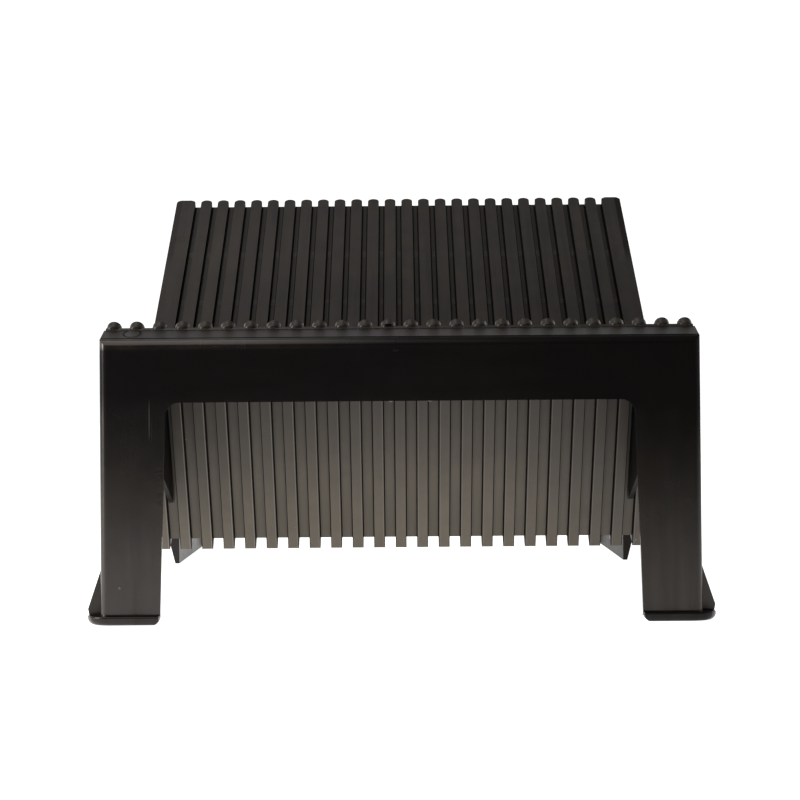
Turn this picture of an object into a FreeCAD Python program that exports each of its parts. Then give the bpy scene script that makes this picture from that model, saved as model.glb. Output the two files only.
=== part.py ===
import FreeCAD, Part
import math
import os

os.makedirs("parts", exist_ok=True)

# Board slots. The pitch is the scale of everything else.
PITCH = 10.0
SLOT_COUNT = 25
SLOT_WIDTH = 3.5
SHEET = 2.0
RIB_HEIGHT = 3.5
FLANK = 0.8

# The two ribbed plates. They stand square to each other and lean back together.
LEAN_DEG = 32.0
LONG_PLATE = 346.5
SHORT_PLATE = 117.7
LONG_END_RIB = 11.15
SHORT_END_RIB = 6.45
END_WALL = 2.0
LONG_TIP = 2.3
SHORT_TIP = 1.3
LONG_WINDOW = 11.0
SHORT_WINDOW = 3.5
CORNER_BACK = 80.1
CORNER_UP = 26.8

# The front portal with its two legs.
WALL = 2.2
PORTAL_TOP_HALF = 128.9
PORTAL_FOOT_HALF = 129.2
RIM_UP = 121.2
EDGE_RADIUS = 3.5
WINDOW_TOP = 94.9
WINDOW_TOP_HALF = 100.6
WINDOW_FOOT_HALF = 103.5
WINDOW_RADIUS = 6.0
LEG_DEPTH = 35.0
SIDE_WALL_END = 40.0
SEAM_BACK = 4.6
SEAM_WIDTH = 0.6
SEAM_DEPTH = 0.4

# Stiffening webs behind the legs.
WEB_AT = 104.4
WEB_THICK = 2.0
WEB_FRONT_UP = 69.8
WEB_BACK_UP = 49.0

# Lips round the bottom of the front legs.
LIP_THICK = 3.9
LIP_FRONT = 5.0
LIP_SIDE = 6.0
LIP_CORNER = 11.0
LIP_UNDER = 2.9
LIP_OVER = 0.7
FOOT_ROUND = 3.0
BUTTRESS_TOP = 25.4
BUTTRESS_FOOT = 6.4
BUTTRESS_FRONT = 6.5
BUTTRESS_THICK = 2.4

# Rear legs under the far end of the long plate.
REAR_LEG_FRONT = 348.0
REAR_BAR = 28.0
REAR_FLANGE = 8.0
REAR_RIM_THICK = 2.2
REAR_RIM_REACH = 3.5
REAR_RIM_FOOT = 0.4
REAR_RIM_RISE = 12.0
REAR_RIM_FALL = 100.0
REAR_RIM_END = 185.0

# Sizes that follow from the ones above.
THICK = SHEET + RIB_HEIGHT
OUTER_RIB = SLOT_WIDTH + 2.0 * FLANK
INNER_RIB = PITCH - SLOT_WIDTH
LAST_SLOT = (SLOT_COUNT - 1) // 2
ROW_HALF = LAST_SLOT * PITCH + SLOT_WIDTH / 2
LONG_HALF_WIDTH = ROW_HALF + LONG_END_RIB
SHORT_HALF_WIDTH = ROW_HALF + SHORT_END_RIB
LIP_HALF = PORTAL_FOOT_HALF + LIP_SIDE
LEAN = math.radians(LEAN_DEG)
EPS = 0.6


def vec(x, y, z):
    return FreeCAD.Vector(x, y, z)


def box(x0, x1, y0, y1, z0, z1):
    return Part.makeBox(x1 - x0, y1 - y0, z1 - z0, vec(x0, y0, z0))


def prism(points, direction):
    wire = Part.makePolygon(points + [points[0]])
    return Part.Face(wire).extrude(direction)


def side_prism(outline, x0, x1):
    """A prism along X from an outline given as (back, up) pairs."""
    points = [vec(x0, back, up) for back, up in outline]
    return prism(points, vec(x1 - x0, 0, 0))


def front_prism(outline, y0, y1):
    """A prism along Y from an outline given as (across, up) pairs."""
    points = [vec(across, y0, up) for across, up in outline]
    return prism(points, vec(0, y1 - y0, 0))


def both_sides(shape):
    return [shape, shape.mirror(vec(0, 0, 0), vec(1, 0, 0))]


def along_long(u, v):
    """Standing position (back, up) of a point given along the plates."""
    back = CORNER_BACK + u * math.cos(LEAN) - v * math.sin(LEAN)
    up = CORNER_UP + u * math.sin(LEAN) + v * math.cos(LEAN)
    return back, up


def folded_section(half_width):
    """The folded sheet in section as (across, through) pairs.

    Slots open on the inner side and recesses open on the outer side.
    """
    points = [(-half_width, THICK)]
    for n in range(-LAST_SLOT, LAST_SLOT + 1):
        left = n * PITCH - SLOT_WIDTH / 2
        right = n * PITCH + SLOT_WIDTH / 2
        points += [(left, THICK), (left, SHEET), (right, SHEET), (right, THICK)]
    points += [(half_width, THICK), (half_width, 0)]
    for n in range(LAST_SLOT, -LAST_SLOT - 2, -1):
        right = (n + 1) * PITCH - OUTER_RIB / 2
        left = n * PITCH + OUTER_RIB / 2
        if n == LAST_SLOT:
            right = half_width - END_WALL
        if n == -LAST_SLOT - 1:
            left = -half_width + END_WALL
        points += [(right, 0), (right, RIB_HEIGHT), (left, RIB_HEIGHT), (left, 0)]
    points += [(-half_width, 0)]
    return points


def rounded_tip(across, width, shoulder, low, high, thick_axis):
    """One rib end in the plane of its plate, rounded at both corners."""
    radius = min(width / 2, INNER_RIB / 2)
    left = across - width / 2
    right = across + width / 2
    top = shoulder + radius
    turn = radius * math.sqrt(0.5)

    def put(a, b):
        if thick_axis == "z":
            return vec(a, b, low)
        return vec(a, low, b)

    edges = [Part.makeLine(put(left, shoulder - EPS), put(left, shoulder))]
    mid = put(left + radius - turn, shoulder + turn)
    edges.append(Part.Arc(put(left, shoulder), mid, put(left + radius, top)).toShape())
    if width > 2 * radius + 0.01:
        edges.append(Part.makeLine(put(left + radius, top), put(right - radius, top)))
    mid = put(right - radius + turn, shoulder + turn)
    edges.append(Part.Arc(put(right - radius, top), mid, put(right, shoulder)).toShape())
    edges.append(Part.makeLine(put(right, shoulder), put(right, shoulder - EPS)))
    edges.append(Part.makeLine(put(right, shoulder - EPS), put(left, shoulder - EPS)))
    face = Part.Face(Part.Wire(edges))
    if thick_axis == "z":
        return face.extrude(vec(0, 0, high - low))
    return face.extrude(vec(0, high - low, 0))


def rib_tips(half_width, shoulder, thick_axis):
    tips = []
    for n in range(-LAST_SLOT, LAST_SLOT):
        middle = (n + 0.5) * PITCH
        tips.append(rounded_tip(middle, INNER_RIB, shoulder, SHEET, THICK, thick_axis))
    width = half_width - ROW_HALF
    for side in (-1, 1):
        middle = side * (ROW_HALF + half_width) / 2
        tips.append(rounded_tip(middle, width, shoulder, SHEET, THICK, thick_axis))
    return tips


def long_plate():
    """The plate the boards stand on, in its own flat position."""
    outline = folded_section(LONG_HALF_WIDTH)
    shoulder = LONG_PLATE + LONG_TIP - INNER_RIB / 2
    points = [vec(a, LONG_WINDOW, t) for a, t in outline]
    half = LONG_HALF_WIDTH
    solids = [prism(points, vec(0, shoulder - LONG_WINDOW, 0))]
    solids.append(box(-half, half, shoulder - SHEET, LONG_PLATE, 0, SHEET))
    solids += rib_tips(half, shoulder, "z")
    return solids


def short_plate():
    """The plate the boards lean against, in its own flat position."""
    outline = folded_section(SHORT_HALF_WIDTH)
    shoulder = SHORT_PLATE + SHORT_TIP - INNER_RIB / 2
    points = [vec(a, t, SHORT_WINDOW) for a, t in outline]
    half = SHORT_HALF_WIDTH
    solids = [prism(points, vec(0, 0, shoulder - SHORT_WINDOW))]
    solids.append(box(-half, half, 0, SHEET, shoulder - SHEET, SHORT_PLATE))
    solids += rib_tips(half, shoulder, "y")
    return solids


def corner_straps():
    """The outer ribs that carry on round the corner and leave windows between them."""
    solids = []
    half = OUTER_RIB / 2
    ell = [
        (0, 0),
        (LONG_WINDOW + EPS, 0),
        (LONG_WINDOW + EPS, SHEET),
        (SHEET, SHEET),
        (SHEET, SHORT_WINDOW + EPS),
        (0, SHORT_WINDOW + EPS),
    ]
    for n in range(-LAST_SLOT, LAST_SLOT + 1):
        solids.append(side_prism(ell, n * PITCH - half, n * PITCH + half))
    wall = [
        (0, 0),
        (LONG_WINDOW + EPS, 0),
        (LONG_WINDOW + EPS, THICK),
        (THICK, THICK),
        (THICK, SHORT_WINDOW + EPS),
        (0, SHORT_WINDOW + EPS),
    ]
    end = side_prism(wall, SHORT_HALF_WIDTH - END_WALL, LONG_HALF_WIDTH)
    return solids + both_sides(end)


def hood_outline(grow):
    """Side view of the hollow front body, walls moved in by grow."""
    top_front = along_long(0, SHORT_PLATE)
    slope = (top_front[1] - RIM_UP) / top_front[0]
    drop = grow * math.sqrt(1 + slope * slope)
    end = along_long(0, SIDE_WALL_END)
    if grow == 0:
        return [
            (0, 0),
            (0, RIM_UP),
            (top_front[0] + EPS, top_front[1]),
            (end[0] + EPS, end[1]),
            (LEG_DEPTH, 0),
        ]
    return [
        (grow, -EPS),
        (grow, RIM_UP - drop + slope * grow),
        (top_front[0] + 10, top_front[1] - drop + slope * 10),
        (end[0] + 60, end[1]),
        (LEG_DEPTH + 60, -EPS),
    ]


def hood_width(inset, y0, y1):
    top = RIM_UP + 30
    fall = (PORTAL_FOOT_HALF - PORTAL_TOP_HALF) / RIM_UP
    top_half = PORTAL_TOP_HALF - fall * 30 - inset
    foot_half = PORTAL_FOOT_HALF - inset
    outline = [(-foot_half, 0), (foot_half, 0), (top_half, top), (-top_half, top)]
    if inset:
        outline = [(-foot_half, -EPS), (foot_half, -EPS), (top_half, top), (-top_half, top)]
    return front_prism(outline, y0, y1)


def rounded(shape, radius, wanted):
    edges = [e for e in shape.Edges if wanted(e)]
    return shape.makeFillet(radius, edges)


def is_rim(edge):
    box_ = edge.BoundBox
    return box_.YMax < 0.01 and abs(box_.ZMax - RIM_UP) < 0.01 and box_.ZLength < 0.01


def is_corner(edge):
    box_ = edge.BoundBox
    return box_.YMax < 0.01 and box_.ZLength > 50


def is_inner_rim(edge):
    box_ = edge.BoundBox
    flat = box_.YLength < 0.01 and abs(box_.YMax - WALL) < 0.01
    return flat and (box_.ZLength > 50 or box_.ZMin > 100)


def front_body():
    """The portal, its flange and the outer walls of both legs."""
    reach = 200
    outer = side_prism(hood_outline(0), -reach, reach).common(hood_width(0, -1, reach))
    outer = rounded(outer, EDGE_RADIUS, lambda e: is_rim(e) or is_corner(e))
    inner = side_prism(hood_outline(WALL), -reach, reach)
    inner = inner.common(hood_width(WALL, -1, reach))
    inner = rounded(inner, EDGE_RADIUS - WALL, is_inner_rim)
    body = outer.cut(inner)
    body = body.cut(portal_window())
    for corner in both_sides(foot_corner()):
        body = body.cut(corner)
    return body.cut(seam())


def portal_window():
    foot = -EPS
    outline = [
        (-WINDOW_FOOT_HALF, foot),
        (WINDOW_FOOT_HALF, foot),
        (WINDOW_TOP_HALF, WINDOW_TOP),
        (-WINDOW_TOP_HALF, WINDOW_TOP),
    ]
    hole = front_prism(outline, -EPS, WALL + EDGE_RADIUS)
    return rounded(
        hole,
        WINDOW_RADIUS,
        lambda e: e.BoundBox.YLength > 1 and e.BoundBox.ZMin > WINDOW_TOP - 1,
    )


def seam():
    """The shallow line where the rim meets the sloping flange."""
    top_front = along_long(0, SHORT_PLATE)
    slope = (top_front[1] - RIM_UP) / top_front[0]
    up = RIM_UP + slope * SEAM_BACK
    half = PORTAL_TOP_HALF - 2.0
    return box(-half, half, SEAM_BACK, SEAM_BACK + SEAM_WIDTH, up - SEAM_DEPTH, up + 2)


def leg_webs():
    top = along_long(0, SHORT_PLATE)
    back = along_long(0, (WEB_BACK_UP - CORNER_UP) / math.cos(LEAN))
    slope = (top[1] - RIM_UP) / top[0]
    outline = [
        (WALL - EPS, WEB_FRONT_UP),
        (WALL - EPS, RIM_UP - WALL - 1),
        (top[0] + EPS, top[1] - WALL - slope),
        (back[0] + EPS, back[1]),
    ]
    return both_sides(side_prism(outline, WEB_AT, WEB_AT + WEB_THICK))


def foot_corner():
    """What the rounding takes off the inner bottom corner of one foot."""
    left = WINDOW_FOOT_HALF
    middle = left + FOOT_ROUND
    reach = LIP_FRONT + WALL + 2
    corner = box(left - 1, middle, -LIP_FRONT - 1, WALL + 1, -1, FOOT_ROUND)
    disc = Part.makeCylinder(FOOT_ROUND, reach, vec(middle, -LIP_FRONT - 1, FOOT_ROUND), vec(0, 1, 0))
    return corner.cut(disc)


def is_lip_corner(edge):
    box_ = edge.BoundBox
    return box_.ZLength > 1 and box_.XMin > LIP_HALF - 1 and box_.YMax < 0


def is_lip_edge(edge, up):
    """The outer run of the lip at one height: front, corner and side."""
    box_ = edge.BoundBox
    level = box_.ZLength < 0.01 and abs(box_.ZMax - up) < 0.01
    front = box_.YMax < -LIP_FRONT + LIP_CORNER + 0.1 and box_.XLength > 1
    side = box_.XMin > LIP_HALF - 0.1
    return level and (front or side)


def foot_lip():
    """The lip round the front and the outer side of one leg."""
    inner = WINDOW_FOOT_HALF
    plate = box(inner, LIP_HALF, -LIP_FRONT, LEG_DEPTH, 0, LIP_THICK)
    plate = rounded(plate, LIP_CORNER, is_lip_corner)
    plate = rounded(plate, LIP_UNDER, lambda e: is_lip_edge(e, 0))
    plate = rounded(plate, LIP_OVER, lambda e: is_lip_edge(e, LIP_THICK))
    hollow = box(inner - EPS, PORTAL_FOOT_HALF - WALL, WALL, LEG_DEPTH + EPS, -EPS, LIP_THICK + EPS)
    return plate.cut(hollow).cut(foot_corner())


def buttress():
    """The small three-cornered brace between lip and leg on the outer side."""
    leg = PORTAL_FOOT_HALF - WALL
    outline = [
        (leg, LIP_THICK - EPS),
        (LIP_HALF - 0.6, LIP_THICK - EPS),
        (LIP_HALF, BUTTRESS_FOOT),
        (PORTAL_FOOT_HALF - 0.4, BUTTRESS_TOP),
        (leg, BUTTRESS_TOP),
    ]
    return front_prism(outline, BUTTRESS_FRONT, BUTTRESS_FRONT + BUTTRESS_THICK)


def back_end():
    """How far back the rear legs reach at the floor."""
    far = along_long(LONG_PLATE, 0)
    return far[0] + far[1] * math.tan(LEAN)


def rear_leg():
    """One side panel under the far end of the long plate."""
    far = along_long(LONG_PLATE, 0)
    under = CORNER_UP + (REAR_LEG_FRONT - CORNER_BACK) * math.tan(LEAN)
    lift = SHEET / math.cos(LEAN)
    outline = [
        (REAR_LEG_FRONT, 0),
        (back_end(), 0),
        (far[0], far[1]),
        (far[0] - SHEET * math.sin(LEAN), far[1] + SHEET * math.cos(LEAN)),
        (REAR_LEG_FRONT, under + lift),
    ]
    return side_prism(outline, LONG_HALF_WIDTH - END_WALL, LONG_HALF_WIDTH)


def rear_rim():
    """The rib down the front edge of a rear leg, dying out towards the floor."""
    edge = LONG_HALF_WIDTH
    outline = [
        (edge - EPS, 0),
        (edge + REAR_RIM_FOOT, 0),
        (edge + REAR_RIM_REACH, REAR_RIM_RISE),
        (edge + REAR_RIM_REACH, REAR_RIM_FALL),
        (edge, REAR_RIM_END),
        (edge - EPS, REAR_RIM_END),
    ]
    return front_prism(outline, REAR_LEG_FRONT, REAR_LEG_FRONT + REAR_RIM_THICK)


def rear_frame():
    """The bar across the far end and the flanges down the back of both rear legs."""
    far = along_long(LONG_PLATE, 0)
    down = far[1] / math.cos(LEAN) + WALL * math.tan(LEAN)
    half = LONG_HALF_WIDTH
    solids = [box(-half, half, LONG_PLATE - WALL, LONG_PLATE, -REAR_BAR, SHEET)]
    flange = box(half - REAR_FLANGE, half, LONG_PLATE - WALL, LONG_PLATE, -down - 5, -REAR_BAR + EPS)
    return solids, both_sides(flange)


def stood_up(shape):
    copy = shape.copy()
    copy.rotate(vec(0, 0, 0), vec(1, 0, 0), LEAN_DEG)
    copy.translate(vec(0, CORNER_BACK, CORNER_UP))
    return copy


def rack():
    flat = long_plate() + short_plate() + corner_straps()
    bar, flanges = rear_frame()
    flat = flat + bar + flanges
    solids = [stood_up(s) for s in flat]
    floor = box(-500, 500, -500, 1000, -500, 0)
    solids = [s.cut(floor) if s.BoundBox.ZMin < 0 else s for s in solids]
    solids.append(front_body())
    solids += leg_webs()
    solids += both_sides(foot_lip())
    solids += both_sides(buttress())
    solids += both_sides(rear_leg())
    solids += both_sides(rear_rim())
    whole = solids[0].multiFuse(solids[1:])
    whole = whole.removeSplitter()
    whole.translate(vec(0, (LIP_FRONT - back_end()) / 2, 0))
    return whole


shape = rack()
if len(shape.Solids) != 1:
    raise RuntimeError("the rack must be one solid, found %d" % len(shape.Solids))
solid = shape.Solids[0]
if not solid.isValid():
    raise RuntimeError("the rack solid is not valid")
solid.exportStep("parts/rack.step")
bounds = solid.BoundBox
print("size %.1f %.1f %.1f" % (bounds.XLength, bounds.YLength, bounds.ZLength))
print("volume %.1f cm3" % (solid.Volume / 1000.0))
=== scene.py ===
import math

import bmesh
import bpy
from mathutils import Matrix, Vector


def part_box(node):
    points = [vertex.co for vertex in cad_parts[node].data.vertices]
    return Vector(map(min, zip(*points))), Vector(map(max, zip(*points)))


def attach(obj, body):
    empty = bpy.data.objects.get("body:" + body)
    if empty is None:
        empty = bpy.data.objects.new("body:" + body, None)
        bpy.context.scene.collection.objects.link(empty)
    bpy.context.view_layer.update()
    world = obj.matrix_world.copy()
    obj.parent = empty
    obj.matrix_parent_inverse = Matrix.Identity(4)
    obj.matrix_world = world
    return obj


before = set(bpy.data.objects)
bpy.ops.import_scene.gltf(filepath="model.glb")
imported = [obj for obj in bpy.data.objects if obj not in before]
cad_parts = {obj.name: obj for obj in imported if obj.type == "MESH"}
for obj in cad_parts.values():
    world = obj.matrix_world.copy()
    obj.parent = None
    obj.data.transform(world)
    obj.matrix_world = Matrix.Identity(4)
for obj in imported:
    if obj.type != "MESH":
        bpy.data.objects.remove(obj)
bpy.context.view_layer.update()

bl_info = {
    "name": "Circuit board rack looks",
    "version": (1, 0, 0),
    "blender": (4, 5, 0),
    "location": "3D View > Sidebar > Board rack",
    "description": "Gives the board rack its plastic finish, moulding marks and a plain studio",
    "category": "Object",
}

# Places on the rack, in metres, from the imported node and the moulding's own sizes.
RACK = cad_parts["rack"]
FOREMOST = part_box("rack")[0].y
LIP_REACH = 0.005
FRONT = FOREMOST + LIP_REACH
LEAN = math.radians(32.0)
CORNER_Y = FRONT + 0.0801
CORNER_Z = 0.0268
PITCH = 0.010
LIP_TOP = 0.0039
FOOT_INNER = 0.1035
WINDOW_TOP = 0.0949
RIM_UP = 0.1212

# The rounded rib ends above the rim: how many, how far up the short plate their centres are, how
# deep in it their flat faces lie, and their radius.
TIP_COUNT = 26
TIP_CENTRE = 0.11575
TIP_FACE = 0.0020
TIP_RADIUS = 0.00318


class PlasticSettings(bpy.types.PropertyGroup):
    """Finish of the moulded plastic."""

    deep_tone: bpy.props.FloatVectorProperty(
        name="Deep tone",
        description="Colour of the plastic where it is cleanest",
        subtype="COLOR",
        size=3,
        min=0.0,
        max=1.0,
        default=(0.0026, 0.0025, 0.0025),
    )
    worn_tone: bpy.props.FloatVectorProperty(
        name="Worn tone",
        description="Colour of the plastic in its flow marks and rubbed places",
        subtype="COLOR",
        size=3,
        min=0.0,
        max=1.0,
        default=(0.0190, 0.0130, 0.0090),
    )
    cool_tone: bpy.props.FloatVectorProperty(
        name="Cool tone",
        description="Colour of the worn places that lean towards violet",
        subtype="COLOR",
        size=3,
        min=0.0,
        max=1.0,
        default=(0.0140, 0.0092, 0.0112),
    )
    # The scratch tone also colours the dust, and, made stronger, the painted highlights on the rib
    # edges.
    scratch_and_highlight_tone: bpy.props.FloatVectorProperty(
        name="Scratch tone",
        description="Colour of hairline scratches and dust",
        subtype="COLOR",
        size=3,
        min=0.0,
        max=1.0,
        default=(0.115, 0.108, 0.098),
    )
    gloss_tint: bpy.props.FloatVectorProperty(
        name="Gloss tint",
        description="Colour of what the plastic mirrors when seen square on",
        subtype="COLOR",
        size=3,
        min=0.0,
        max=1.0,
        default=(1.0, 0.935, 0.87),
    )
    # The film tone is the colour of the pale floor's reflection, painted onto the short plate's
    # outer side.
    floor_reflection_tone: bpy.props.FloatVectorProperty(
        name="Film tone",
        description="Colour of the thin film of dust on the short plate's outer side",
        subtype="COLOR",
        size=3,
        min=0.0,
        max=1.0,
        default=(0.1030, 0.0880, 0.0670),
    )
    plate_roughness: bpy.props.FloatProperty(
        name="Plate roughness",
        description="Roughness of the slotted plates",
        subtype="FACTOR",
        min=0.0,
        max=1.0,
        default=0.38,
    )
    portal_roughness: bpy.props.FloatProperty(
        name="Portal roughness",
        description="Roughness of the smooth front portal",
        subtype="FACTOR",
        min=0.0,
        max=1.0,
        default=0.21,
    )
    grain_depth: bpy.props.FloatProperty(
        name="Grain depth",
        description="Height of the fine skin of the moulding",
        subtype="DISTANCE",
        unit="LENGTH",
        min=0.0,
        max=0.001,
        default=0.000010,
    )
    flow_depth: bpy.props.FloatProperty(
        name="Flow depth",
        description="Height of the marks that the plastic left as it flowed",
        subtype="DISTANCE",
        unit="LENGTH",
        min=0.0,
        max=0.001,
        default=0.000050,
    )
    index: bpy.props.FloatProperty(
        name="Refraction",
        description="Refractive index, which sets how much the surface mirrors",
        min=1.0,
        max=3.0,
        default=1.50,
    )


class TrimSettings(bpy.types.PropertyGroup):
    """Small leftovers of the moulding."""

    cap_bulge: bpy.props.FloatProperty(
        name="Cap bulge",
        description="How far the rounded cap of a rib end stands out of its flat face",
        subtype="DISTANCE",
        unit="LENGTH",
        min=0.0001,
        max=0.002,
        default=0.0017,
    )
    nib_length: bpy.props.FloatProperty(
        name="Nib length",
        description="How far the sliver of plastic at one foot stands out",
        subtype="DISTANCE",
        unit="LENGTH",
        min=0.0002,
        max=0.005,
        default=0.0013,
    )
    burr_radius: bpy.props.FloatProperty(
        name="Burr radius",
        description="Half the length of each burr on the window's upper edge",
        subtype="DISTANCE",
        unit="LENGTH",
        min=0.0001,
        max=0.003,
        default=0.0009,
    )
    bead_radius: bpy.props.FloatProperty(
        name="Bead radius",
        description="Radius, before it is squashed, of the bead where the plastic met at the rim",
        subtype="DISTANCE",
        unit="LENGTH",
        min=0.0001,
        max=0.003,
        default=0.0013,
    )


class StageSettings(bpy.types.PropertyGroup):
    """Floor, light and view."""

    floor_half: bpy.props.FloatProperty(
        name="Floor half size",
        description="Half the side of the pale floor",
        subtype="DISTANCE",
        unit="LENGTH",
        min=1.0,
        max=50.0,
        default=8.0,
    )
    floor_tone: bpy.props.FloatVectorProperty(
        name="Floor tone",
        description="Colour of the floor",
        subtype="COLOR",
        size=3,
        min=0.0,
        max=1.0,
        default=(0.86, 0.86, 0.85),
    )
    floor_glow: bpy.props.FloatProperty(
        name="Floor glow",
        description="Light that comes up through the floor, as on a light table",
        min=0.0,
        max=10.0,
        default=1.0,
    )
    sky_low: bpy.props.FloatProperty(
        name="Low sky",
        description="Brightness of the surroundings near the horizon",
        min=0.0,
        max=10.0,
        default=1.15,
    )
    sky_high: bpy.props.FloatProperty(
        name="High sky",
        description="Brightness of the surroundings overhead",
        min=0.0,
        max=10.0,
        default=0.20,
    )
    top_power: bpy.props.FloatProperty(
        name="Top light",
        description="Power of the soft light overhead",
        subtype="POWER",
        unit="POWER",
        min=0.0,
        max=1000.0,
        default=8.0,
    )
    front_power: bpy.props.FloatProperty(
        name="Front light",
        description="Power of the weak light above the camera, which rounds the rim",
        subtype="POWER",
        unit="POWER",
        min=0.0,
        max=1000.0,
        default=2.2,
    )
    side_power: bpy.props.FloatProperty(
        name="Side light",
        description="Power of the soft light on the left",
        subtype="POWER",
        unit="POWER",
        min=0.0,
        max=1000.0,
        default=18.0,
    )
    camera_back: bpy.props.FloatProperty(
        name="Camera distance",
        description="How far the camera stands in front of the portal",
        subtype="DISTANCE",
        unit="LENGTH",
        min=0.1,
        max=20.0,
        default=0.920,
    )
    camera_up: bpy.props.FloatProperty(
        name="Camera height",
        description="Height of the camera above the floor",
        subtype="DISTANCE",
        unit="LENGTH",
        min=0.0,
        max=10.0,
        default=0.0953,
    )
    camera_lens: bpy.props.FloatProperty(
        name="Lens",
        description="Focal length for a sensor 36 mm wide",
        subtype="DISTANCE_CAMERA",
        min=10.0,
        max=300.0,
        default=96.75,
    )
    camera_roll: bpy.props.FloatProperty(
        name="Camera roll",
        description="Small turn of the camera about its own view",
        subtype="ANGLE",
        unit="ROTATION",
        default=math.radians(0.47),
    )


class Value:
    """A shader socket that takes part in Python expressions."""

    def __init__(self, graph, socket):
        self.graph = graph
        self.socket = socket

    def math(self, operation, *terms):
        return self.graph.node("ShaderNodeMath", {"operation": operation}, dict(enumerate(terms)))

    def __add__(self, other):
        return self.math("ADD", self, other)

    __radd__ = __add__

    def __sub__(self, other):
        return self.math("SUBTRACT", self, other)

    def __rsub__(self, other):
        return self.math("SUBTRACT", other, self)

    def __mul__(self, other):
        return self.math("MULTIPLY", self, other)

    __rmul__ = __mul__

    def __truediv__(self, other):
        return self.math("DIVIDE", self, other)

    def __pow__(self, other):
        return self.math("POWER", self, other)

    def __gt__(self, other):
        return self.math("GREATER_THAN", self, other)

    def __lt__(self, other):
        return self.math("LESS_THAN", self, other)

    def __abs__(self):
        return self.math("ABSOLUTE", self)

    def fraction(self):
        return self.math("FRACT", self)

    def sine(self):
        return self.math("SINE", self)

    def rise(self, low, high):
        """0 below low, 1 above high and smooth in between."""
        return self.graph.node(
            "ShaderNodeMapRange",
            {"interpolation_type": "SMOOTHSTEP"},
            {"Value": self, "From Min": low, "From Max": high},
        )

    def fall(self, low, high):
        """1 below low, 0 above high and smooth in between."""
        return 1 - self.rise(low, high)

    def band(self, low, high, soft):
        """1 between low and high, with soft edges."""
        return self.rise(low - soft, low + soft) * self.fall(high - soft, high + soft)


# The sockets of a Mix node that mixes colours.
MIX_FACTOR = 0
MIX_FIRST = 6
MIX_SECOND = 7
MIX_RESULT = 2


class Graph:
    """The nodes of one material or of the world."""

    def __init__(self, owner):
        owner.use_nodes = True
        self.tree = owner.node_tree
        self.tree.nodes.clear()

    def node(self, kind, settings=None, values=None, out=0):
        """Adds a node, with its settings and the values or links of its sockets."""
        made = self.tree.nodes.new(kind)
        for name, setting in (settings or {}).items():
            setattr(made, name, setting)
        for key, value in (values or {}).items():
            if isinstance(value, Value):
                self.tree.links.new(value.socket, made.inputs[key])
            else:
                made.inputs[key].default_value = value
        return Value(self, made.outputs[out]) if len(made.outputs) else made

    def place(self):
        """The three Object coordinates, in metres."""
        where = self.node("ShaderNodeTexCoord", out="Object")
        return [self.node("ShaderNodeSeparateXYZ", None, {0: where}, out) for out in range(3)]

    def vector(self, x, y, z):
        return self.node("ShaderNodeCombineXYZ", None, {0: x, 1: y, 2: z})

    def noise(self, where, scale, detail=2.0, roughness=0.5, distortion=0.0):
        values = {
            "Vector": where,
            "Scale": scale,
            "Detail": detail,
            "Roughness": roughness,
            "Distortion": distortion,
        }
        return self.node("ShaderNodeTexNoise", None, values)

    def streaks(self, ways, cells, **look):
        """Noise with a different number of cells a metre along each of three ways."""
        where = self.vector(*(way * count for way, count in zip(ways, cells)))
        return self.noise(where, 1.0, **look)

    def blend(self, factor, first, second):
        values = {MIX_FACTOR: factor, MIX_FIRST: first, MIX_SECOND: second}
        return self.node("ShaderNodeMix", {"data_type": "RGBA"}, values, MIX_RESULT)

    def distance(self, a, b):
        return (a * a + b * b) ** 0.5


def opaque(colour, strength=1.0):
    """A colour for a shader socket, made stronger or weaker."""
    return (*(channel * strength for channel in colour), 1.0)


def weighed(marks, shares):
    """The sum of the named marks, each times its share."""
    first, *others = [marks[name] * share for name, share in shares.items()]
    return sum(others, first)


# Where the moulding's parts lie, in metres. Two numbers are the start and the end of a soft edge.
# Three are the two edges of a band and how soft they are.
PORTAL_BACK = (FRONT + 0.0036, FRONT + 0.0060)
LEG_SIDE = (0.097, 0.107)
BAR_UNDER = (0.088, 0.100)
FLANGE_DEPTH = (FRONT + 0.0050, FRONT + 0.0170, 0.0004)
FLANGE_UP = (0.116, 0.121)
LONG_START = (0.008, 0.014)
LONG_SHEET = (-0.0002, 0.0058, 0.0002)
SHORT_START = (-0.0010, -0.0002)
SHORT_SHEET = (-0.0004, 0.0060, 0.0002)
EITHER_PLATE = (0.2, 0.8)

# How many cells a metre each noise has. Three numbers are for its own three ways.
CLOUD_CELLS = 16.0
MOTTLE_CELLS = 95.0
DRIFT_CELLS = 34.0
SKIN_CELLS = 2100.0
PLATE_STREAKS = (240, 9, 9)
LEG_STREAKS = (120, 60, 11)
BAR_STREAKS = (9, 60, 130)


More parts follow.
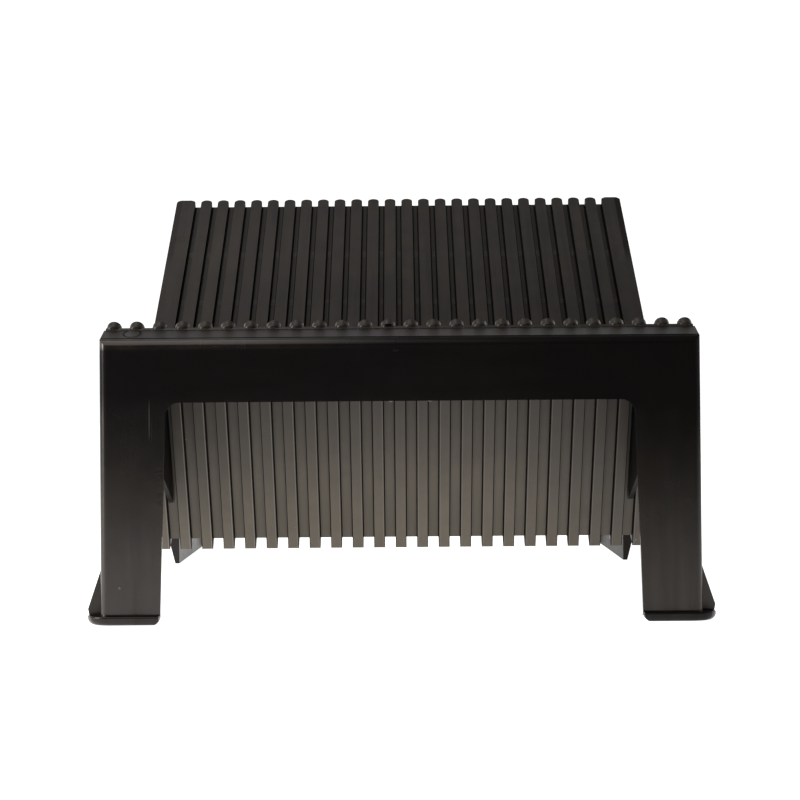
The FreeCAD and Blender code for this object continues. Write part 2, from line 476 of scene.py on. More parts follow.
class Moulding:
    """Where a shaded point lies on the rack, and the slow patterns that the marks share."""

    def __init__(self, graph):
        x, y, z = graph.place()
        back = y - CORNER_Y
        up = z - CORNER_Z
        along = back * math.cos(LEAN) + up * math.sin(LEAN)
        rise = up * math.cos(LEAN) - back * math.sin(LEAN)
        self.x, self.y, self.z = x, y, z
        self.ways = (x, y, z)
        self.point = graph.vector(x, y, z)
        self.along = along
        self.rise = rise

        # The portal's front skin, its legs, bar and flange, and the two plates.
        self.portal = y.fall(*PORTAL_BACK)
        self.leg = abs(x).rise(*LEG_SIDE) * self.portal
        self.bar = z.rise(*BAR_UNDER) * self.portal
        self.flange = y.band(*FLANGE_DEPTH) * z.rise(*FLANGE_UP)
        self.long_plate = along.rise(*LONG_START) * rise.band(*LONG_SHEET)
        self.short_plate = rise.rise(*SHORT_START) * along.band(*SHORT_SHEET)

        # Depth through whichever plate this is, and the way across from the middle of its slot.
        self.depth = self.long_plate * rise + (1 - self.long_plate) * along
        self.offset = ((x / PITCH + 0.5).fraction() - 0.5) * PITCH
        self.lane = abs(self.offset)

        # Slow clouding, and streaks that run the way the plastic flowed.
        self.cloud = graph.noise(self.point, CLOUD_CELLS, detail=3.0, roughness=0.55)
        self.mottle = graph.noise(self.point, MOTTLE_CELLS, detail=3.0, roughness=0.6)
        plate_ways = (x, along, rise)
        plate = graph.streaks(plate_ways, PLATE_STREAKS, detail=3.0, roughness=0.6, distortion=0.3)
        leg = graph.streaks(self.ways, LEG_STREAKS, detail=4.0, roughness=0.62, distortion=0.9)
        bar = graph.streaks(self.ways, BAR_STREAKS, detail=4.0, roughness=0.60, distortion=0.7)
        flow = plate + self.bar * (bar - plate)
        self.flow = flow + self.leg * (leg - flow)


# The whorl half way down the left leg, in metres, with its rings in radians a metre.
WHORL_X = -0.1030
WHORL_Z = 0.0610
WHORL_STRETCH = 0.55
WHORL_RINGS = 3600
WHORL_SWAY = 0.006
WHORL_SWAY_CELLS = 260.0
WHORL_REACH = (0.001, 0.0085)
WHORL_RIGHT_EDGE = (-0.1025, -0.0995)


def whorl_lines(graph, on):
    """Fold lines on the left leg, where two fronts of plastic ran together."""
    sway = (graph.noise(on.point, WHORL_SWAY_CELLS) - 0.5) * WHORL_SWAY
    reach = graph.distance(on.x - WHORL_X, (on.z - WHORL_Z) * WHORL_STRETCH)
    rings = ((reach + sway) * WHORL_RINGS).sine()
    return rings * reach.fall(*WHORL_REACH) * on.portal * on.x.fall(*WHORL_RIGHT_EDGE)


# Hairlines: the cells of their noise, how high it has to be for a scratch, and how strong they are.
# The nicks are the short ones by the left window edge.
UPRIGHT_HAIR = (1500, 30, 18)
UPRIGHT_CUT = (0.735, 0.76)
UPRIGHT_SHARE = 0.55
LEVEL_HAIR = (60, 500, 1400)
LEVEL_CUT = (0.745, 0.77)
LEVEL_SHARE = 0.45
RUBBED_CLOUD = (0.46, 0.66)
HAIR_OFF_PORTAL = 0.25
NICK_HAIR = (1900, 30, 26)
NICK_CUT = (0.60, 0.64)
NICK_SHARE = 0.8
NICK_ACROSS = (-0.1085, -0.1045, 0.0006)
NICK_UP = (0.080, 0.0955, 0.002)


def hairlines(graph, on):
    """Scratches, mostly on the portal, and the nicks."""
    upright = graph.streaks(on.ways, UPRIGHT_HAIR, detail=1.0, distortion=0.2).rise(*UPRIGHT_CUT)
    level = graph.streaks(on.ways, LEVEL_HAIR, detail=1.0, distortion=0.2).rise(*LEVEL_CUT)
    crossed = upright * UPRIGHT_SHARE + level * LEVEL_SHARE
    where = on.portal * (1 - HAIR_OFF_PORTAL) + HAIR_OFF_PORTAL
    nicks = graph.streaks(on.ways, NICK_HAIR, detail=1.0).rise(*NICK_CUT)
    by_window = on.x.band(*NICK_ACROSS) * on.z.band(*NICK_UP) * on.portal
    return crossed * on.cloud.rise(*RUBBED_CLOUD) * where + nicks * by_window * NICK_SHARE


# Dust: its cells, the share of them that holds a grain, and the one light speck on the left leg.
DUST_CELLS = 62.0
DUST_PICK = (0.70, 0.72)
DUST_GRAIN = (0.012, 0.026)
SPECK_X = -0.1207
SPECK_Z = 0.0158
SPECK_RADIUS = 0.0007
SPECK_SHARE = 0.35


def dust_grains(graph, on):
    """A grain in some of the cells, and a speck low on the left leg."""
    cells = {"Vector": on.point, "Scale": DUST_CELLS, "Randomness": 1.0}
    near = graph.node("ShaderNodeTexVoronoi", {"feature": "F1"}, cells, "Distance")
    pick = graph.node("ShaderNodeTexVoronoi", {"feature": "F1"}, cells, "Color")
    picked = graph.node("ShaderNodeSeparateColor", None, {0: pick}).rise(*DUST_PICK)
    speck = graph.distance(on.x - SPECK_X, on.z - SPECK_Z).fall(SPECK_RADIUS / 2, SPECK_RADIUS)
    return near.fall(*DUST_GRAIN) * picked + speck * on.portal * SPECK_SHARE


# The round mark of an ejector pin on the flange, and the dashes on the slot floors.
PIN_X = -0.1160
PIN_BACK = 0.0128
PIN_STRETCH = 0.65
PIN_EDGE = (0.0031, 0.0034)
PIN_RING = (0.0032, 0.0041, 0.0002)
DASHES = ((0.2265, 0.2320, 0.0004), (0.2820, 0.2880, 0.0004))
DASH_ACROSS = (0.0010, 0.0013)
DASH_DEPTH = (0.0012, 0.0026, 0.0002)


def pin_marks(graph, on):
    """The pin's pale round and the dark ring about it, in that order."""
    pin = graph.distance(on.x - PIN_X, (on.y - FRONT - PIN_BACK) * PIN_STRETCH)
    return pin.fall(*PIN_EDGE) * on.flange, pin.band(*PIN_RING) * on.flange


def slot_dashes(on):
    """Two short dashes on the floor of each slot of the long plate."""
    near, far = (on.along.band(*place) for place in DASHES)
    in_slot = on.lane.fall(*DASH_ACROSS) * on.rise.band(*DASH_DEPTH)
    return (near + far) * in_slot * on.long_plate


# Painted shade on the ribs' walls and in the slots: how far across from the slot's middle, how
# deep, how dark.
OUTER_WALL = (0.00228, 0.00282, 0.00005)
OUTER_WALL_DEPTH = (0.0037, 0.0040)
OUTER_WALL_SHADE = 0.97
INNER_WALL = (0.00100, 0.00190, 0.00012)
INNER_WALL_DEPTH = (0.0019, 0.0054, 0.0001)
INNER_WALL_SHADE = 0.75
SLOT_ACROSS = (0.00165, 0.00180)
SLOT_DEPTH = (0.0017, 0.0050, 0.0002)
SLOT_SHADE = 0.14
# Painted shade on the long plate's near end and on the short plate's upper part.
LONG_NEAR_END = (0.200, 0.290)
LONG_NEAR_SHADE = 0.22
SHORT_UPPER = (0.020, 0.118)
SHORT_UPPER_DEPTH = (0.0038, 0.0044)
SHORT_UPPER_SHADE = 0.36


def plate_shade(on):
    """Painted shade on the rib walls and slots, on the long plate's near end and on the short
    plate's upper part.
    """
    outer = on.lane.band(*OUTER_WALL) * on.depth.fall(*OUTER_WALL_DEPTH)
    inner = on.lane.band(*INNER_WALL) * on.depth.band(*INNER_WALL_DEPTH)
    slot = on.lane.fall(*SLOT_ACROSS) * on.depth.band(*SLOT_DEPTH)
    ribs = outer * OUTER_WALL_SHADE + inner * INNER_WALL_SHADE + slot * SLOT_SHADE
    ribs = ribs * (on.long_plate + on.short_plate).rise(*EITHER_PLATE)
    near = on.long_plate * on.along.fall(*LONG_NEAR_END) * LONG_NEAR_SHADE
    upper = on.short_plate * on.rise.rise(*SHORT_UPPER) * on.depth.fall(*SHORT_UPPER_DEPTH)
    return ribs + near + upper * SHORT_UPPER_SHADE


# Painted shade on the portal's face, deeper upwards, to the right and in its bar. Its rim stays
# light on the left.
FACE_UP = (0.010, 0.100)
FACE_UP_SHADE = 0.64
FACE_RIGHT = (0.02, 0.12)
FACE_RIGHT_SHADE = 0.30
BAR_SHADE = 0.22
FLOW_SHADE = 0.50
WHORL_SHADE = 0.018
RIM_BAND = (0.1168, 0.1196)
RIM_LEFT = (-0.090, 0.015)
LIP_FACE = (FRONT - 0.0012, FRONT - 0.0004)
LIP_SHADE = 0.45


def portal_shade(on, whorl):
    """Painted shade on the portal's face, with its flow lines, and on its lips."""
    facing = on.z.rise(*FACE_UP) * FACE_UP_SHADE + on.x.rise(*FACE_RIGHT) * FACE_RIGHT_SHADE
    facing = facing + on.bar * BAR_SHADE + (on.flow - 0.5) * FLOW_SHADE + whorl * WHORL_SHADE
    # The rim band on the left is spared the painted shade, which leaves a painted highlight.
    rim = on.z.rise(*RIM_BAND) * on.x.fall(*RIM_LEFT)
    return on.portal * facing * (1 - rim) + on.y.fall(*LIP_FACE) * LIP_SHADE


# Painted shade on the webs under the sloping hood, on the rear legs, and in the crease between rim
# and flange.
HOOD_SLOPE = 0.305
HOOD_UNDER = (0.1182, 0.1190)
WEB_ACROSS = (0.1040, 0.1068, 0.0002)
WEB_DEPTH = (FRONT + 0.0030, FRONT + 0.0700, 0.001)
WEB_UP = (0.045, 0.072)
WEB_SHADE = 0.68
WEB_UP_SHADE = 0.22
REAR_SIDE = (0.1290, 0.1300)
REAR_START = (FRONT + 0.300, FRONT + 0.320)
REAR_RIGHT = (0.0, 0.01)
REAR_SHADE = 0.30
REAR_RIGHT_SHADE = 0.34
CREASE_DEPTH = (FRONT + 0.0042, FRONT + 0.0056, 0.0002)
CREASE_UP = (0.1190, 0.1200)
CREASE_SHADE = 0.95
RING_SHADE = 0.70


def corner_shade(on, ring):
    """Painted shade on the webs, the rear legs and the crease behind the rim, and the ejector pin's
    dark ring.
    """
    hood = on.z - (on.y - FRONT) * HOOD_SLOPE
    web = abs(on.x).band(*WEB_ACROSS) * on.y.band(*WEB_DEPTH) * hood.fall(*HOOD_UNDER)
    rear = abs(on.x).rise(*REAR_SIDE) * on.y.rise(*REAR_START)
    crease = on.y.band(*CREASE_DEPTH) * on.z.rise(*CREASE_UP)
    shade = web * (on.z.rise(*WEB_UP) * WEB_UP_SHADE + WEB_SHADE) + crease * CREASE_SHADE
    rear = rear * (on.x.rise(*REAR_RIGHT) * REAR_RIGHT_SHADE + REAR_SHADE)
    return shade + rear + ring * RING_SHADE


# The rib ends above the rim, which get an even painted shade, and the jagged dark crack on one of
# them.
CAP_RISE = (0.1174, 0.1178)
CAP_DEPTH = (-0.0006, 0.0060, 0.0002)
CAP_SHADE = 0.28
DARKEST = 0.97
CRACK_X = -0.0050
CRACK_Z = 0.1280
CRACK_STRETCH = (0.55, 1.4)
CRACK_JAG = 0.0030
CRACK_EDGE = (0.0006, 0.0012)
CRACK_FROM = (FRONT + 0.012, FRONT + 0.013)
CRACK_TO = (FRONT + 0.024, FRONT + 0.025)
CRACK_SHADE = 0.9


def rib_crack(graph, on):
    """A dark jagged crack on the end of one rib."""
    wide, high = CRACK_STRETCH
    jag = (on.mottle - 0.5) * CRACK_JAG
    reach = graph.distance((on.x - CRACK_X) * wide, (on.z - CRACK_Z) * high + jag)
    return reach.fall(*CRACK_EDGE) * on.y.rise(*CRACK_FROM) * on.y.fall(*CRACK_TO)


# The painted reflection of the pale floor, a film on the short plate's outer side, thickest low
# down and on the left.
FILM_DEPTH = (0.0036, 0.0042)
FILM_LOW = (-0.010, 0.125)
FILM_POWER = 1.6
FILM_GAIN = 0.95
FILM_LEAST = 0.03
FILM_RIGHT = (0.0, 0.12)
FILM_RIGHT_LOSS = 0.45
FILM_PATCHES = 0.5
FILM_EVEN = 0.45
FILM_RECESS = (0.0020, 0.0034)
FILM_RECESS_GAIN = 0.75


def painted_floor_reflection(on):
    """A thin painted reflection of the pale floor, patchy, and thicker on the floors of the
    recesses.
    """
    low = on.rise.fall(*FILM_LOW) ** FILM_POWER * FILM_GAIN + FILM_LEAST
    film = on.short_plate * on.depth.fall(*FILM_DEPTH) * low
    film = film * (1 - on.x.rise(*FILM_RIGHT) * FILM_RIGHT_LOSS)
    film = film * (on.mottle * FILM_PATCHES + on.cloud * FILM_PATCHES + FILM_EVEN)
    return film * (on.depth.rise(*FILM_RECESS) * FILM_RECESS_GAIN + 1)


# Where the plastic met in the middle of the rim, and the dark line that runs off to the right.
MEET_X = -0.0012
MEET_WANDER = 0.002
MEET_WIDTH = (0.00015, 0.00045)
MEET_UP = (0.1165, 0.1225, 0.0006)
SHUT_Z = 0.1222
SHUT_WANDER = 0.0006
SHUT_WIDTH = (0.0002, 0.0006)
SHUT_ACROSS = (-0.0012, 0.0430, 0.0010)
RIM_BACK = (FRONT + 0.004, FRONT + 0.006)


def meeting_lines(on):
    """The upright line and the level one, in that order."""
    at_rim = on.y.fall(*RIM_BACK)
    meet = abs(on.x - MEET_X + (on.mottle - 0.5) * MEET_WANDER).fall(*MEET_WIDTH)
    shut = abs(on.z - SHUT_Z - (on.cloud - 0.5) * SHUT_WANDER).fall(*SHUT_WIDTH)
    return meet * on.z.band(*MEET_UP) * at_rim, shut * on.x.band(*SHUT_ACROSS) * at_rim


# The painted highlight on the edge of each rib on the short plate, on the side towards the middle
# of the rack.
EDGE_ACROSS = (0.00178, 0.00222, 0.00005)
EDGE_DEPTH = (0.0002, 0.0004)
EDGE_LEFT = (-0.100, -0.020)
EDGE_LEFT_MORE = 0.6
EDGE_LEAST = 0.4


def lit_edges(on):
    """Painted highlights, brighter on the left, where the side light reaches them."""
    inward = (on.offset * on.x) < 0
    edge = on.lane.band(*EDGE_ACROSS) * inward * on.depth.fall(*EDGE_DEPTH)
    share = on.x.fall(*EDGE_LEFT) * EDGE_LEFT_MORE + EDGE_LEAST
    return edge * (on.short_plate * share)


# How much of each mark goes into a colour, into the roughness, and into the relief in metres.
TINT_SHARES = {"cloud": 0.45, "mottle": 0.25, "flow": 0.35}
TINT_RANGE = (0.34, 0.78)
DRIFT_RANGE = (0.42, 0.60)
# The film paints the pale floor's reflection, and the caps get a little painted light.
PAINTED_LIGHT_SHARES = {"film": 1.0, "cap": 0.08}
PALE_SHARES = {"scratch": 0.5, "dash": 0.22, "pin": 0.12}
# Dust, and the painted highlights on the rib edges, in one pale colour.
DUST_AND_HIGHLIGHT_SHARES = {"dust": 0.75, "lit_edge": 0.42}
DUST_AND_HIGHLIGHT_STRENGTH = 2.2
SEAM_SHARES = {"meet": 0.8, "shut": 0.9}
SEAM_TONE = (0.002, 0.002, 0.002, 1.0)
FLOW_ROUGHNESS = 0.20
MOTTLE_ROUGHNESS = 0.08
ROUGHNESS_SHARES = {
    "flange": -0.04,
    "whorl": 0.015,
    "scratch": 0.16,
    "dust": 0.30,
    "dash": 0.06,
    "shut": 0.3,
}
CLOUD_RELIEF = 0.00022
RELIEF_SHARES = {
    "whorl": 0.000004,
    "scratch": -0.000010,
    "dust": 0.000050,
    "dash": -0.00010,
    "ring": 0.00006,
    "meet": -0.00008,
    "shut": -0.00012,
}
MILLIMETRE = 0.001
# The near-black shader that the shade factor mixes in, as painted shade.
PAINTED_SHADE_TONE = (0.0012, 0.0010, 0.0009, 1.0)
PAINTED_SHADE_ROUGHNESS = 0.62
PAINTED_SHADE_SPECULAR = 0.05


def plastic_colour(graph, on, marks, settings):
    """Black that drifts between two worn tones, with the painted floor reflection, scratches, dust,
    painted highlights and seams on it.
    """
    drift = graph.noise(on.point, DRIFT_CELLS, detail=1.0).rise(*DRIFT_RANGE)
    worn = graph.blend(drift, opaque(settings.worn_tone), opaque(settings.cool_tone))
    tint = weighed(marks, TINT_SHARES).rise(*TINT_RANGE)
    colour = graph.blend(tint, opaque(settings.deep_tone), worn)
    pale = opaque(settings.scratch_and_highlight_tone)
    dust_and_highlight = opaque(settings.scratch_and_highlight_tone, DUST_AND_HIGHLIGHT_STRENGTH)
    colour = graph.blend(weighed(marks, PAINTED_LIGHT_SHARES), colour, opaque(settings.floor_reflection_tone))
    colour = graph.blend(weighed(marks, PALE_SHARES), colour, pale)
    colour = graph.blend(weighed(marks, DUST_AND_HIGHLIGHT_SHARES), colour, dust_and_highlight)
    return graph.blend(weighed(marks, SEAM_SHARES), colour, SEAM_TONE)


def plastic_roughness(on, marks, settings):
    """A smoother portal and flange, and duller streaks, scratches and dust."""
    base = settings.plate_roughness
    rough = on.portal * (settings.portal_roughness - base) + base
    rough = rough + (on.flow - 0.5) * FLOW_ROUGHNESS + (on.mottle - 0.5) * MOTTLE_ROUGHNESS
    return rough + weighed(marks, ROUGHNESS_SHARES)


def plastic_relief(graph, on, marks, settings):
    """The normal from the fine skin, the flow, the clouding and the marks."""
    skin = graph.noise(on.point, SKIN_CELLS, roughness=0.6)
    relief = (skin - 0.5) * settings.grain_depth + (on.flow - 0.5) * settings.flow_depth
    relief = relief + (on.cloud - 0.5) * CLOUD_RELIEF + weighed(marks, RELIEF_SHARES)
    bumped = {"Height": relief * (1 / MILLIMETRE), "Distance": MILLIMETRE, "Strength": 1.0}
    return graph.node("ShaderNodeBump", None, bumped)


def black_plastic(settings):
    """Carbon black moulding: satin plates, a smoother portal, flow marks, scratches and dust, with
    painted shade, painted highlights and a painted floor reflection.
    """
    material = bpy.data.materials.new("black_plastic")
    graph = Graph(material)
    on = Moulding(graph)
    pin, ring = pin_marks(graph, on)
    meet, shut = meeting_lines(on)
    marks = {
        "cloud": on.cloud,
        "mottle": on.mottle,
        "flow": on.flow,
        "flange": on.flange,
        "whorl": whorl_lines(graph, on),
        "scratch": hairlines(graph, on),
        "dust": dust_grains(graph, on),
        "pin": pin,
        "ring": ring,
        "dash": slot_dashes(on),
        "cap": on.rise.rise(*CAP_RISE) * on.along.band(*CAP_DEPTH),
        "film": painted_floor_reflection(on),
        "meet": meet,
        "shut": shut,
        "lit_edge": lit_edges(on),
    }

    # How much of the painted shade shader shows: all of the painted shades, an even painted shade
    # on the caps, and the crack.
    shade = plate_shade(on) + portal_shade(on, marks["whorl"]) + corner_shade(on, ring)
    shade = shade.math("MINIMUM", shade, DARKEST)
    shade = shade * (1 - marks["cap"]) + marks["cap"] * CAP_SHADE
    shade = shade + rib_crack(graph, on) * CRACK_SHADE

    values = {
        "Base Color": plastic_colour(graph, on, marks, settings),
        "Roughness": plastic_roughness(on, marks, settings),
        "Normal": plastic_relief(graph, on, marks, settings),
        "IOR": settings.index,
        "Specular Tint": opaque(settings.gloss_tint),
    }
    skin_shader = graph.node("ShaderNodeBsdfPrincipled", None, values)
    values = {
        "Base Color": PAINTED_SHADE_TONE,
        "Roughness": PAINTED_SHADE_ROUGHNESS,
        "Specular IOR Level": PAINTED_SHADE_SPECULAR,
    }
    painted_shade_shader = graph.node("ShaderNodeBsdfPrincipled", None, values)
    surface = graph.node("ShaderNodeMixShader", None, {0: shade, 1: skin_shader, 2: painted_shade_shader})
    graph.node("ShaderNodeOutputMaterial", None, {"Surface": surface})
    return material


# The torn plastic: the cells of its pits and streaks, how much of each goes into its colour and
# into its relief in millimetres, and how strong and how rough its torn and sound places are.
TORN_CELLS = 900.0
TORN_STREAKS = (400, 2600, 2600)
TORN_SHARES = {"torn": 0.6, "streak": 0.4}
TORN_RANGE = (0.35, 0.70)
TORN_HEIGHTS = {"torn": 0.03, "streak": 0.02}
TORN_STRENGTH = 1.4
SOUND_STRENGTH = 2.5
TORN_ROUGHNESS = 0.25
SOUND_ROUGHNESS = 0.40


def flash_plastic(settings):
    """Thin slivers of the same plastic, paler where they were torn."""
    material = bpy.data.materials.new("torn_plastic")
    graph = Graph(material)
    ways = graph.place()
    marks = {
        "torn": graph.noise(graph.vector(*ways), TORN_CELLS, detail=3.0, roughness=0.6),
        "streak": graph.streaks(ways, TORN_STREAKS),
    }
    mixed = weighed(marks, TORN_SHARES).rise(*TORN_RANGE)
    sound = opaque(settings.worn_tone, SOUND_STRENGTH)
    pale = opaque(settings.scratch_and_highlight_tone, TORN_STRENGTH)
    bumped = {
        "Height": weighed(marks, TORN_HEIGHTS),
        "Distance": MILLIMETRE,
        "Strength": 1.0,
    }
    values = {
        "Base Color": graph.blend(mixed, sound, pale),
        "Roughness": marks["torn"] * TORN_ROUGHNESS + SOUND_ROUGHNESS,
        "Normal": graph.node("ShaderNodeBump", None, bumped),
        "IOR": settings.index,
    }
    surface = graph.node("ShaderNodeBsdfPrincipled", None, values)
    graph.node("ShaderNodeOutputMaterial", None, {"Surface": surface})
    return material


# The floor's clouding and sheen, the light that comes up through it, and the black cloth.
FLOOR_CELLS = 1.5
FLOOR_FADE = 0.99
FLOOR_ROUGHNESS = 0.75
FLOOR_SPECULAR = 0.2
FLOOR_LIGHT = (1.0, 0.995, 0.985, 1.0)
CLOTH_TONE = (0.004, 0.004, 0.004, 1.0)


def pale_floor(settings):
    """Even pale floor, lit a little from below."""
    material = bpy.data.materials.new("pale_floor")
    graph = Graph(material)
    cloud = graph.noise(graph.vector(*graph.place()), FLOOR_CELLS)
    tone = settings.floor_tone
    values = {
        "Base Color": graph.blend(cloud, opaque(tone, FLOOR_FADE), opaque(tone)),
        "Roughness": FLOOR_ROUGHNESS,
        "Specular IOR Level": FLOOR_SPECULAR,
        "Emission Color": FLOOR_LIGHT,
        "Emission Strength": settings.floor_glow,
    }
    surface = graph.node("ShaderNodeBsdfPrincipled", None, values)
    graph.node("ShaderNodeOutputMaterial", None, {"Surface": surface})
    return material


def dark_cloth():
    """Dull black, for the flag that keeps light off the portal's face."""
    material = bpy.data.materials.new("dark_cloth")
    graph = Graph(material)
    values = {"Base Color": CLOTH_TONE, "Roughness": 1.0, "Specular IOR Level": 0.0}
    surface = graph.node("ShaderNodeBsdfPrincipled", None, values)
    graph.node("ShaderNodeOutputMaterial", None, {"Surface": surface})
    return material


def finished(name, shape, material):
    """Turns a bmesh into an object that sits at the origin."""
    bmesh.ops.recalc_face_normals(shape, faces=shape.faces)
    mesh = bpy.data.meshes.new(name)
    shape.to_mesh(mesh)
    shape.free()
    mesh.materials.append(material)
    piece = bpy.data.objects.new(name, mesh)
    bpy.context.scene.collection.objects.link(piece)
    return piece


def on_rack(piece):
    """Smooths a small piece and makes it ride with the rack."""
    for face in piece.data.polygons:
        face.use_smooth = True
    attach(piece, "root")


# The lumps of a blob: their waves across and up, in radians for each radius, and their height.
LUMP_ACROSS = 3.1
LUMP_UP = 4.3
LUMP_SWELL = 0.13


def squashed_ball(shape, centre, size, seed):
    """A lumpy rounded blob, made from a small sphere."""
    made = bmesh.ops.create_icosphere(shape, subdivisions=3, radius=1.0)
    for vertex in made["verts"]:
        lump = math.sin(vertex.co.x * LUMP_ACROSS + seed) * math.cos(vertex.co.z * LUMP_UP - seed)
        vertex.co *= 1.0 + LUMP_SWELL * lump
    place = Matrix.Translation(centre) @ Matrix.Diagonal((size[0], size[1], size[2], 1.0))
    bmesh.ops.transform(shape, matrix=place, verts=made["verts"])


def torn_finish():
    """The torn plastic, made once."""
    known = bpy.data.materials.get("torn_plastic")
    return known or flash_plastic(bpy.context.scene.rack_plastic)


class RACK_OT_plastic(bpy.types.Operator):
    """Give the rack its black moulded plastic"""

    bl_idname = "rack.plastic"
    bl_label = "Plastic finish"

    def execute(self, context):
        RACK.data.materials.clear()
        RACK.data.materials.append(black_plastic(context.scene.rack_plastic))
        for face in RACK.data.polygons:
            face.material_index = 0
        return {"FINISHED"}


class RACK_OT_rib_caps(bpy.types.Operator):
    """Round the outer face of the rib ends that stand above the rim"""

    bl_idname = "rack.rib_caps"
    bl_label = "Rib caps"

    def execute(self, context):
        bulge = context.scene.rack_trim.cap_bulge
        shape = bmesh.new()
        lean = Matrix.Translation((0, CORNER_Y, CORNER_Z)) @ Matrix.Rotation(LEAN, 4, "X")
        for number in range(TIP_COUNT):
            across = (number - (TIP_COUNT - 1) / 2) * PITCH
            made = bmesh.ops.create_uvsphere(shape, u_segments=24, v_segments=16, radius=1.0)
            place = Matrix.Translation((across, TIP_FACE, TIP_CENTRE))
            size = Matrix.Diagonal((TIP_RADIUS, bulge, TIP_RADIUS, 1.0))
            bmesh.ops.transform(shape, matrix=lean @ place @ size, verts=made["verts"])
        on_rack(finished("rib_caps", shape, RACK.data.materials[0]))
        return {"FINISHED"}


# The sliver at the right foot: its thickness at both ends, length, bevel and flatness in nib
# lengths, where it stands, and how steep an edge is that gets a bevel, in radians.
NIB_ROOT = 0.62
NIB_TIP = 0.10
NIB_DEPTH = 2.0
NIB_BEVEL = 0.05
NIB_FLAT = 0.55
NIB_CENTRE = Vector((FOOT_INNER, FOREMOST + 0.0026, LIP_TOP - 0.0009))
STEEP = 1.0


class RACK_OT_foot_nib(bpy.types.Operator):
    """Add the sliver of plastic at the inner end of the right foot's lip"""

    bl_idname = "rack.foot_nib"
    bl_label = "Foot nib"

    def execute(self, context):
        length = context.scene.rack_trim.nib_length
        shape = bmesh.new()
        bmesh.ops.create_cone(
            shape,
            cap_ends=True,
            cap_tris=False,
            segments=20,
            radius1=length * NIB_ROOT,
            radius2=length * NIB_TIP,
            depth=length * NIB_DEPTH,
        )
        closed = [edge for edge in shape.edges if not edge.is_boundary]
        edges = [edge for edge in closed if edge.calc_face_angle(0) > STEEP]
        bmesh.ops.bevel(
            shape,
            geom=edges,
            offset=length * NIB_BEVEL,
            offset_type="OFFSET",
            segments=2,
            profile=0.5,
            affect="EDGES",
            material=-1,
        )
        turn = Matrix.Rotation(math.radians(-90), 4, "Y")
        place = Matrix.Translation(NIB_CENTRE) @ turn @ Matrix.Diagonal((NIB_FLAT, 1.0, 1.0, 1.0))
        bmesh.ops.transform(shape, matrix=place, verts=shape.verts)
        on_rack(finished("foot_nib", shape, torn_finish()))
        return {"FINISHED"}


# The burrs on the window's upper edge: where they are across, and their shape in burr radii.
BURRS_ACROSS = (-0.0039, 0.0128)
BURR_BACK = 0.0008
BURR_UP = 0.0001
BURR_SHAPE = Vector((1.0, 0.6, 0.55))
BURR_SEED = 1.0


class RACK_OT_window_burrs(bpy.types.Operator):
    """Add the two pale burrs on the window's upper edge"""

    bl_idname = "rack.window_burrs"
    bl_label = "Window burrs"

    def execute(self, context):
        radius = context.scene.rack_trim.burr_radius
        shape = bmesh.new()
        for number, across in enumerate(BURRS_ACROSS):
            centre = Vector((across, FRONT + BURR_BACK, WINDOW_TOP + BURR_UP))
            squashed_ball(shape, centre, BURR_SHAPE * radius, BURR_SEED + number)
        on_rack(finished("window_burrs", shape, torn_finish()))
        return {"FINISHED"}


# The bead in the middle of the rim: its centre, its width and height in bead radii, and its swell.
BEAD_CENTRE = Vector((-0.0016, FRONT + 0.00012, RIM_UP - 0.0042))
BEAD_WIDE = 1.3
BEAD_HIGH = 0.8
BEAD_SWELL = 0.00030
BEAD_SEED = 0.4


class RACK_OT_rim_bead(bpy.types.Operator):
    """Add the small bead in the middle of the rim where the plastic met"""

    bl_idname = "rack.rim_bead"
    bl_label = "Rim bead"

    def execute(self, context):
        radius = context.scene.rack_trim.bead_radius
        shape = bmesh.new()
        size = (radius * BEAD_WIDE, BEAD_SWELL, radius * BEAD_HIGH)
        squashed_ball(shape, BEAD_CENTRE, size, BEAD_SEED)
        on_rack(finished("rim_bead", shape, RACK.data.materials[0]))
        return {"FINISHED"}


# The soft lights: where each hangs, what it looks at, its width and depth, and its colour.
LIGHTS = {
    "top_soft": (
        (-0.45, FRONT - 0.10, 1.45),
        (-0.15, FRONT - 0.02, 0.0),
        (1.7, 1.1),
        (1.0, 0.95, 0.89),
    ),
    "front_soft": (
        (-0.25, FRONT - 1.20, 1.62),
        (0.0, FRONT, 0.12),
        (1.8, 0.7),
        (1.0, 0.99, 0.97),
    ),
    "left_soft": (
        (-1.25, FRONT - 0.30, 0.55),
        (0.0, FRONT + 0.10, 0.08),
        (0.5, 1.0),
        (1.0, 0.98, 0.95),
    ),
}

# How high the sky dims, from 0 at the horizon to 1 overhead, and its colour.
SKY_STEP = (0.24, 0.50)
SKY_TONE = (1.0, 0.998, 0.99, 1.0)

# Places of the floor and of the black flag, in metres, and the camera's sensor, in millimetres.
FLOOR_DROP = 0.0002
FLAG_SIZE = (4.4, 1.0)
FLAG_UP = 0.50
FLAG_BEHIND_CAMERA = 0.080
SENSOR_WIDTH = 36.0
NEAREST_SEEN = 0.01


def soft_light(name, power):
    """A large area light that looks at a point."""
    centre, aim, size, tone = LIGHTS[name]
    data = bpy.data.lights.new(name, "AREA")
    data.shape = "RECTANGLE"
    data.size, data.size_y = size
    data.energy = power
    data.color = tone
    lamp = bpy.data.objects.new(name, data)
    lamp.location = centre
    lamp.rotation_euler = (Vector(aim) - Vector(centre)).to_track_quat("-Z", "Y").to_euler()
    bpy.context.scene.collection.objects.link(lamp)


def flat_panel(name, size, matrix, material):
    """A flat sheet that belongs to the stage and throws no shadow."""
    shape = bmesh.new()
    bmesh.ops.create_grid(shape, x_segments=1, y_segments=1, size=1.0)
    place = matrix @ Matrix.Diagonal((size[0] / 2, size[1] / 2, 1.0, 1.0))
    bmesh.ops.transform(shape, matrix=place, verts=shape.verts)
    panel = finished(name, shape, material)
    panel.visible_shadow = False
    return panel


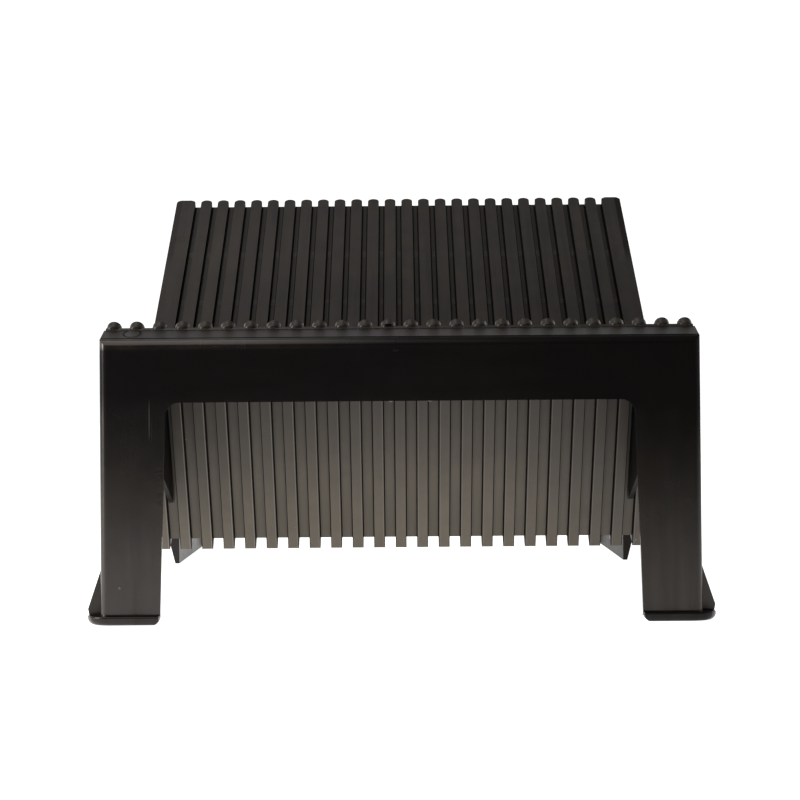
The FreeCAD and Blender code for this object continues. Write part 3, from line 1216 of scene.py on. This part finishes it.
def surroundings(settings):
    """Pale near the horizon and dimmer overhead."""
    world = bpy.data.worlds.new("studio")
    bpy.context.scene.world = world
    graph = Graph(world)
    way = graph.node("ShaderNodeTexCoord", out="Generated")
    up = graph.node("ShaderNodeSeparateXYZ", None, {0: way}, 2)
    bright = up.rise(*SKY_STEP) * (settings.sky_high - settings.sky_low) + settings.sky_low
    values = {"Color": SKY_TONE, "Strength": bright}
    light = graph.node("ShaderNodeBackground", None, values)
    graph.node("ShaderNodeOutputWorld", None, {"Surface": light})


class RACK_OT_stage(bpy.types.Operator):
    """Set out the pale floor, the soft lights and the camera"""

    bl_idname = "rack.stage"
    bl_label = "Studio"

    def execute(self, context):
        settings = context.scene.rack_stage
        surroundings(settings)
        side = settings.floor_half * 2
        under = Matrix.Translation((0, 0, -FLOOR_DROP))
        flat_panel("floor", (side, side), under, pale_floor(settings))
        behind = FRONT - settings.camera_back - FLAG_BEHIND_CAMERA
        upright = Matrix.Rotation(math.radians(90), 4, "X")
        place = Matrix.Translation((0, behind, FLAG_UP)) @ upright
        flag = flat_panel("flag", FLAG_SIZE, place, dark_cloth())
        flag.visible_camera = False
        soft_light("top_soft", settings.top_power)
        soft_light("front_soft", settings.front_power)
        soft_light("left_soft", settings.side_power)
        data = bpy.data.cameras.new("view")
        data.lens = settings.camera_lens
        data.sensor_width = SENSOR_WIDTH
        data.clip_start = NEAREST_SEEN
        camera = bpy.data.objects.new("view", data)
        camera.location = (0.0, FRONT - settings.camera_back, settings.camera_up)
        camera.rotation_euler = (math.radians(90), settings.camera_roll, 0.0)
        context.scene.collection.objects.link(camera)
        context.scene.camera = camera
        context.scene.view_settings.view_transform = "Standard"
        return {"FINISHED"}


class RACK_PT_panel(bpy.types.Panel):
    """Lists the steps that dress the rack, with their settings"""

    bl_idname = "RACK_PT_panel"
    bl_label = "Board rack"
    bl_space_type = "VIEW_3D"
    bl_region_type = "UI"
    bl_category = "Board rack"

    def draw(self, context):
        layout = self.layout
        for heading, group, operators in STEPS:
            section = layout.box()
            section.label(text=heading)
            settings = getattr(context.scene, group)
            for name in settings.__annotations__:
                section.prop(settings, name)
            for operator in operators:
                section.operator(operator.bl_idname)


TRIM = (RACK_OT_rib_caps, RACK_OT_foot_nib, RACK_OT_window_burrs, RACK_OT_rim_bead)
STEPS = (
    ("Plastic", "rack_plastic", (RACK_OT_plastic,)),
    ("Moulding leftovers", "rack_trim", TRIM),
    ("Studio", "rack_stage", (RACK_OT_stage,)),
)
GROUPS = {
    "rack_plastic": PlasticSettings,
    "rack_trim": TrimSettings,
    "rack_stage": StageSettings,
}
CLASSES = (
    PlasticSettings,
    TrimSettings,
    StageSettings,
    RACK_OT_plastic,
    *TRIM,
    RACK_OT_stage,
    RACK_PT_panel,
)


def register():
    for kind in CLASSES:
        bpy.utils.register_class(kind)
    for name, kind in GROUPS.items():
        setattr(bpy.types.Scene, name, bpy.props.PointerProperty(type=kind))


def unregister():
    for name in GROUPS:
        delattr(bpy.types.Scene, name)
    for kind in reversed(CLASSES):
        bpy.utils.unregister_class(kind)


def main():
    register()
    bpy.ops.rack.plastic()
    bpy.ops.rack.rib_caps()
    bpy.ops.rack.foot_nib()
    bpy.ops.rack.window_burrs()
    bpy.ops.rack.rim_bead()
    bpy.ops.rack.stage()


if __name__ == "__main__":
    main()
